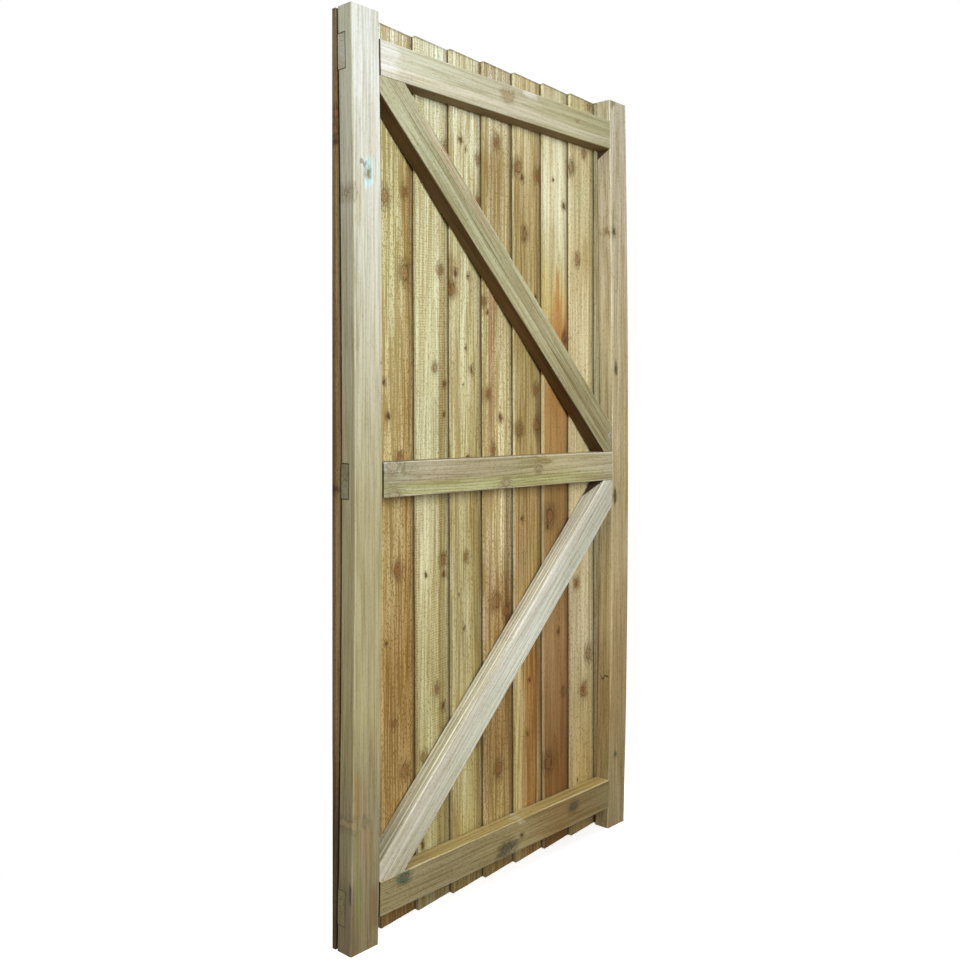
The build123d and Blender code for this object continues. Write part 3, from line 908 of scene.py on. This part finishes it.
# Nails: galvanised round-head nails that hold each board to the three rails, two to a rail, driven
# from the street side so that only their heads show there. They are bright grey; half stand a
# little proud of the timber, and the others are turned inwards and sit flush, which is a fault.
def make_nail_tree():
    """Geometry nodes that drive a block of nails into the street side of the mesh given."""
    tree, given = open_group("nail_rows", "GeometryNodeTree", {
        "Board": "Geometry", "Middle X": 0.1, "Middle Z": 0.9, "Column Gap": 0.05, "Row Gap": 0.815,
        "Stray": 0.003, "Head Radius": 0.0032, "Head Depth": 0.0012, "Seed": "Int", "Steel": "Material",
    }, {"Nails": "Geometry"})
    tree.is_modifier = True
    span = add(tree, "ShaderNodeMath", [given["Row Gap"], 2.0], "MULTIPLY")
    block = add(tree, "GeometryNodeMeshGrid", {
        "Size X": given["Column Gap"], "Size Y": span, "Vertices X": 2, "Vertices Y": 3,
    })
    block = add(tree, "GeometryNodeTransform", {
        "Geometry": block, "Rotation": (math.radians(90), 0, 0),
        "Translation": add(tree, "ShaderNodeCombineXYZ", {
            "X": given["Middle X"], "Y": 0.2, "Z": given["Middle Z"],
        }),
    })
    stray = add(tree, "FunctionNodeRandomValue", {
        0: (-1, 0, -1), 1: (1, 0, 1), "Seed": given["Seed"],
    }, data_type="FLOAT_VECTOR")
    stray = add(tree, "ShaderNodeVectorMath", {0: stray, "Scale": given["Stray"]}, "SCALE")
    block = add(tree, "GeometryNodeSetPosition", {"Geometry": block, "Offset": stray})
    hit = add(tree, "GeometryNodeRaycast", {
        "Target Geometry": given["Board"], "Ray Direction": (0, -1, 0), "Ray Length": 0.3,
    }).node.outputs
    turned = add(tree, "FunctionNodeAlignRotationToVector", {"Vector": hit["Hit Normal"]}, axis="Z")
    block = add(tree, "GeometryNodeMeshToPoints", {
        "Mesh": block, "Selection": hit["Is Hit"], "Position": hit["Hit Position"],
    })
    crown = add(tree, "ShaderNodeMath", [given["Head Radius"], 0.8], "MULTIPLY")
    head = add(tree, "GeometryNodeMeshCone", {
        "Vertices": 12, "Side Segments": 1, "Fill Segments": 1, "Radius Top": crown,
        "Radius Bottom": given["Head Radius"], "Depth": given["Head Depth"],
    })
    nails = add(tree, "GeometryNodeInstanceOnPoints", {
        "Points": block, "Instance": head, "Rotation": turned,
    })
    nails = add(tree, "GeometryNodeRealizeInstances", [nails])
    nails = add(tree, "GeometryNodeSetMaterial", {"Geometry": nails, "Material": given["Steel"]})
    add(tree, "NodeGroupOutput", {"Nails": nails})
    return tree


# Galvanised steel: dull spangled zinc
zinc = blank_material("galvanised_steel")
coating = zinc.node_tree
spangle = add(coating, "ShaderNodeTexVoronoi", {
    "Vector": add(coating, "ShaderNodeTexCoord", out="Object"), "Scale": 900.0,
})
dulled = add(coating, "ShaderNodeMapRange", {"Value": spangle, "To Min": 0.35, "To Max": 0.6})
zinc_surface = add(coating, "ShaderNodeBsdfPrincipled", {
    "Base Color": linear("#A9ADAE"), "Metallic": 1.0, "Roughness": dulled,
})
add(coating, "ShaderNodeOutputMaterial", {"Surface": zinc_surface})


def shaped(name, shape, *materials):
    """An object made from a shape, with flat faces and its materials."""
    mesh = bpy.data.meshes.new(name)
    shape.to_mesh(mesh)
    shape.free()
    mesh.shade_flat()
    for material in materials:
        mesh.materials.append(material)
    return new_object(name, mesh)


nail_columns = 50 * mm
nail_offset = 5 * mm
nail_tree = make_nail_tree()
rail_middles = [middle(name).z for name in ("bottom_rail", "middle_rail", "top_rail")]
nail_shape = bmesh.new()
for number, (left, mesh) in enumerate(board_meshes):
    shown_left, shown_right = max(left, gate_low.x), min(left + board_width, gate_high.x)
    nails = grown(nail_tree, {
        "Middle X": (shown_left + shown_right) / 2 + nail_offset, "Middle Z": rail_middles[1],
        "Column Gap": nail_columns, "Row Gap": (rail_middles[2] - rail_middles[0]) / 2,
        "Seed": number, "Steel": zinc,
    }, mesh)
    nail_shape.from_mesh(nails)
    bpy.data.meshes.remove(nails)
nail_piece = shaped("nails", nail_shape, zinc)
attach(nail_piece, "root")


# Brace screw: one cross-head screw near the lower end of the upper brace, its countersunk head
# flush with the face and its cross dark.
screw_height = 0.975
screw_x = 0.8195 + bow_at(screw_height, 0.82)
screw_place = Vector((screw_x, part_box("upper_brace")[0].y, screw_height))
screw_radius = 7.0 * mm
spokes = 24
arm_reach = {0: 0.78, 1: 0.7, 2: 0.5, 3: 0.44, 4: 0.5, 5: 0.7}
# The cross: dull brown-black with a little grain to it
cross_dark_material = blank_material("cross_dark")
cross_dark = cross_dark_material.node_tree
cross_dark_grain = add(cross_dark, "ShaderNodeTexNoise", {
    "Vector": add(cross_dark, "ShaderNodeTexCoord", out="Object"), "Scale": 2000.0,
})
cross_dark_colour = painted(cross_dark, linear("#1C160E"), linear("#3A2E1E"), cross_dark_grain)
cross_dark_surface = add(cross_dark, "ShaderNodeBsdfPrincipled", {"Base Color": cross_dark_colour, "Roughness": 0.95})
add(cross_dark, "ShaderNodeOutputMaterial", {"Surface": cross_dark_surface})

screw_rings = []
screw_shape = bmesh.new()
for depth, scale, crossed in ((0.6, 0.95, False), (-0.35, 1.0, False), (-0.6, 0.9, False),
                              (-0.6, 1.0, True), (0.6, 0.8, True)):
    ring = []
    for spoke in range(spokes):
        reach = screw_radius * scale * (arm_reach[spoke % 6] if crossed else 1.0)
        angle = 2 * math.pi * spoke / spokes + math.radians(20)
        ring.append(screw_shape.verts.new(screw_place + Vector((
            reach * math.cos(angle), depth * mm, reach * math.sin(angle),
        ))))
    screw_rings.append(ring)
for number, (near, far) in enumerate(zip(screw_rings, screw_rings[1:])):
    for spoke in range(spokes):
        following = (spoke + 1) % spokes
        side = screw_shape.faces.new((near[spoke], near[following], far[following], far[spoke]))
        side.material_index = 1 if number == 3 else 0
recess_floor = screw_shape.faces.new(screw_rings[-1])
recess_floor.material_index = 1
screw_shape.faces.new(list(reversed(screw_rings[0])))
bmesh.ops.recalc_face_normals(screw_shape, faces=screw_shape.faces)
screw = shaped("brace_screw", screw_shape, zinc, cross_dark_material)
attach(screw, "root")
